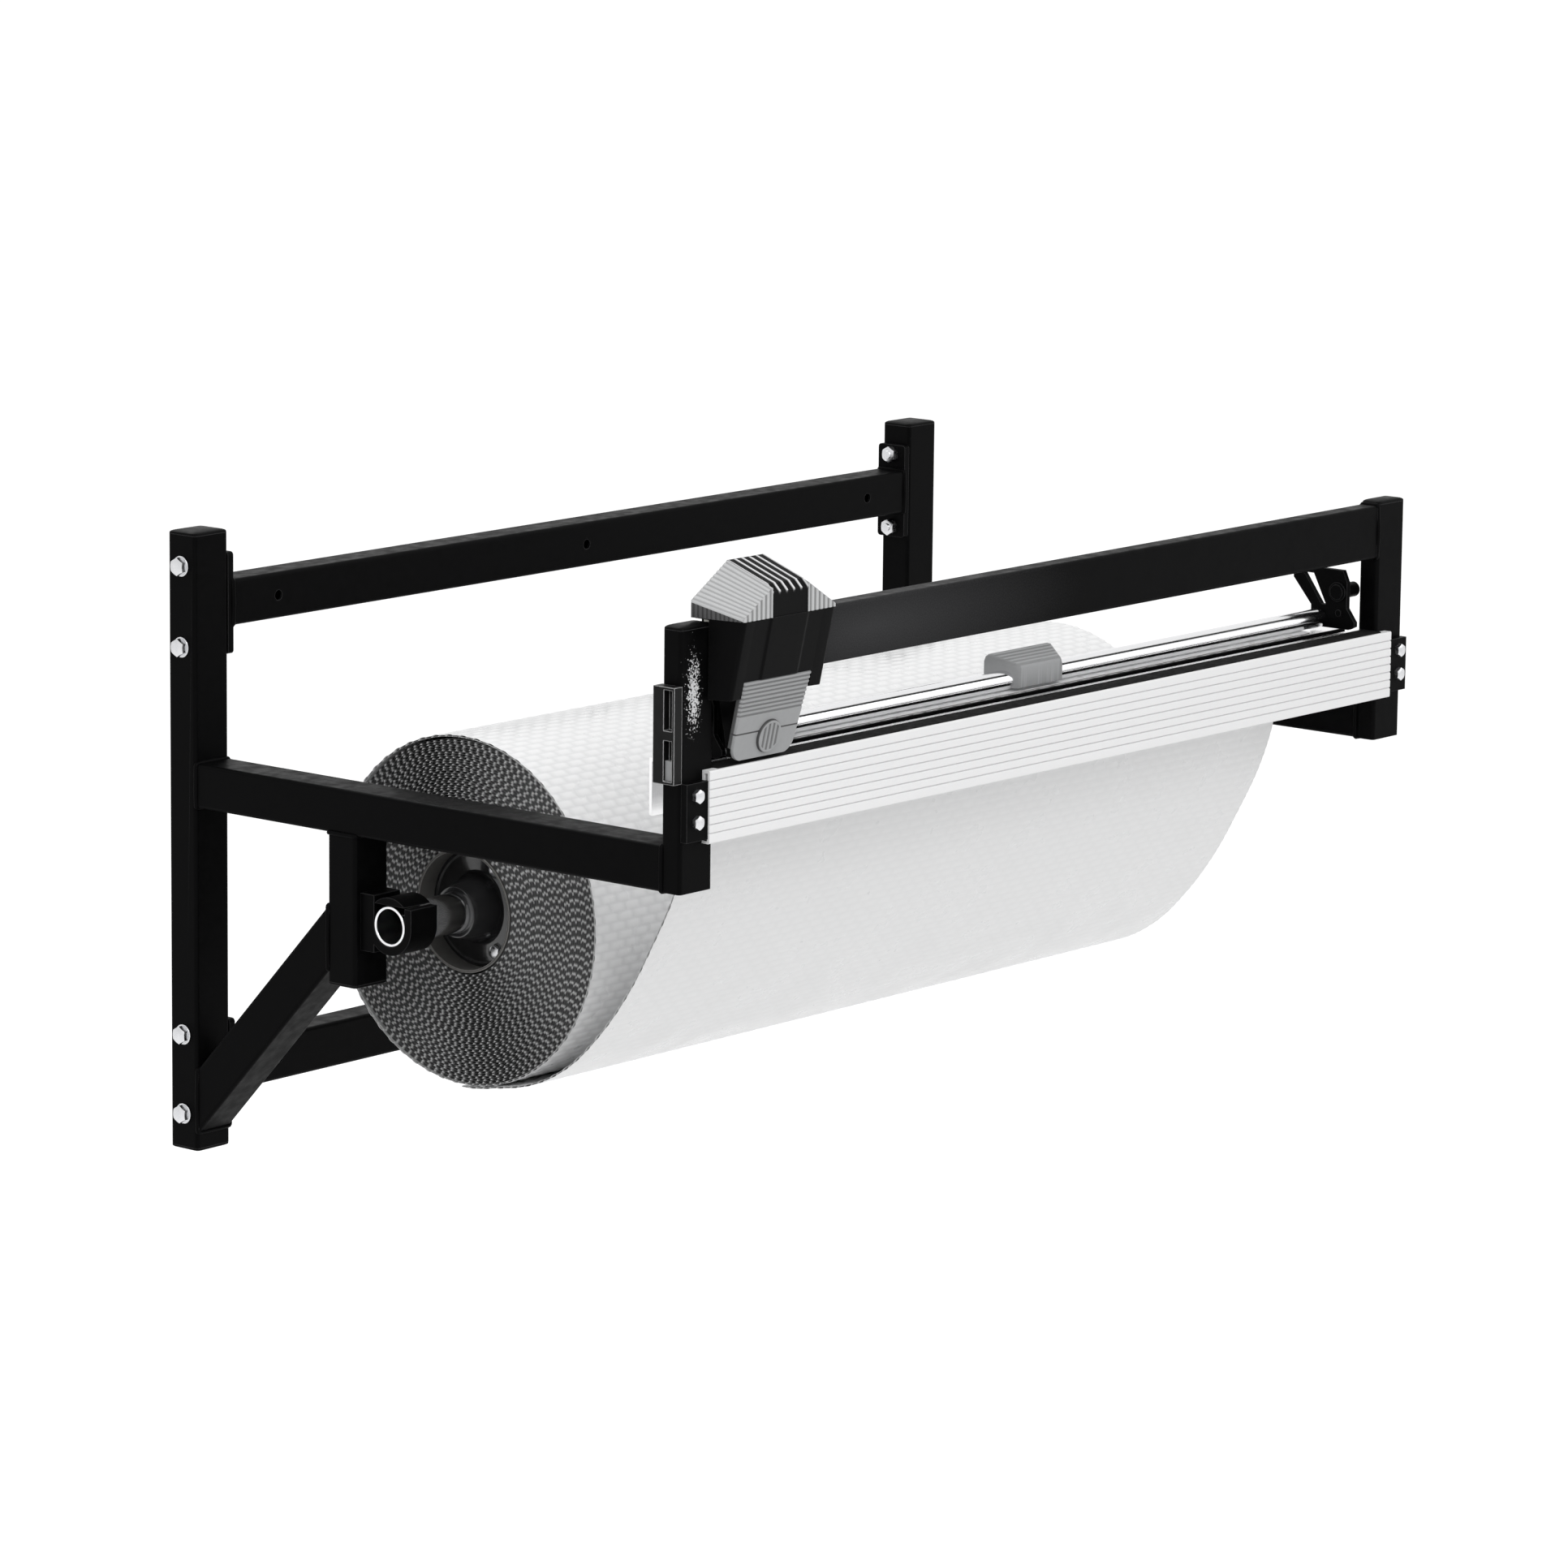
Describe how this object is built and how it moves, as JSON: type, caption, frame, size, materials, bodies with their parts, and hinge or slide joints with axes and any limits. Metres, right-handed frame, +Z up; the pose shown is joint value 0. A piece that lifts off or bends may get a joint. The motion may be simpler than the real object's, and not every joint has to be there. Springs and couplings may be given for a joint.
{
  "type": "wall-mounted film roll cutter",
  "caption": "Wall-hung steel stand that carries a wide film roll, a cutting table with a hold-down bar, and a sliding cutter head on a crossbar.",
  "frame": {"origin": "centre of the pattern of wall holes, on the wall plane", "axes": "+X along the rails to the right seen from the front, +Z up, -Y out of the wall towards the user"},
  "size_m": [1.2704, 0.763, 0.708],
  "materials": {
    "frame_black": "black powder coat, satin",
    "black_plastic": "black moulded plastic, fine grain",
    "bright_steel": "zinc plated",
    "chromed_tube": "polished chrome",
    "hub_metal": "black enamelled casting, glossy",
    "white_aluminium": "pale anodised",
    "strip_rubber": "matt black",
    "grey_plastic": "mid grey moulded plastic",
    "nylon": "natural nylon",
    "core_board": "plain board",
    "wrap_film": "white bubble film, soft sheen",
    "blade_steel": "ground blade"
  },
  "bodies": {
    "frame": {"left_upright": "frame_black", "right_upright": "frame_black", "tube_caps": "black_plastic", "upper_rail": "frame_black", "lower_rail": "frame_black", "rail_flanges": "frame_black", "frame_bolts": "bright_steel", "frame_nuts": "bright_steel", "left_arm": "frame_black", "right_arm": "frame_black", "left_hanger": "frame_black", "right_hanger": "frame_black", "left_brace": "frame_black", "right_brace": "frame_black", "left_cradle": "frame_black", "right_cradle": "frame_black", "left_post": "frame_black", "right_post": "frame_black", "crossbar": "frame_black", "cutting_table": "white_aluminium", "groove_liner": "black_plastic", "front_profile": "white_aluminium", "rubber_strip": "strip_rubber", "beam_end_plates": "frame_black", "beam_bolts": "bright_steel", "table_screws": "bright_steel", "side_bracket": "frame_black", "bracket_block": "grey_plastic", "pivot_shafts": "bright_steel", "pivot_clips": "bright_steel", "film_web": "wrap_film"},
    "hold_down": {"hold_down_bar": "chromed_tube", "left_lever": "frame_black", "right_lever": "frame_black", "hold_down_grip": "grey_plastic", "bar_screws": "bright_steel", "clamp_pins": "bright_steel"},
    "roll": {"film_roll": "wrap_film", "roll_core": "core_board", "roll_axle": "chromed_tube", "left_hub": "hub_metal", "right_hub": "hub_metal", "hub_screws": "bright_steel"},
    "cutter": {"carriage": "black_plastic", "slide_shoes": "nylon", "head_shell": "black_plastic", "left_grip_pad": "grey_plastic", "right_grip_pad": "grey_plastic", "centre_band": "black_plastic", "upper_cover": "grey_plastic", "lower_cover": "grey_plastic", "blade_cartridge": "black_plastic", "blade": "blade_steel", "cutter_screws": "bright_steel"},
    "button": {"release_button": "grey_plastic", "button_spring": "bright_steel"}
  },
  "joints": [
    {"name": "roll_spin", "type": "hinge", "parent": "frame", "child": "roll", "pos_m": [0, -0.314, -0.052], "axis": [1, 0, 0], "continuous": true},
    {"name": "hold_down_lift", "type": "hinge", "parent": "frame", "child": "hold_down", "pos_m": [0, -0.688, 0.209], "axis": [1, 0, 0], "range_deg": [0, 20]},
    {"name": "cutter_slide", "type": "slide", "parent": "frame", "child": "cutter", "axis": [1, 0, 0], "range_m": [0, 1.014]},
    {"name": "button_press", "type": "slide", "parent": "cutter", "child": "button", "axis": [0, 0.9763, 0.2164], "range_m": [0, 0.003], "stiffness_N_per_m": 800, "springref_m": -0.002, "deforming": ["button_spring"]}
  ]
}
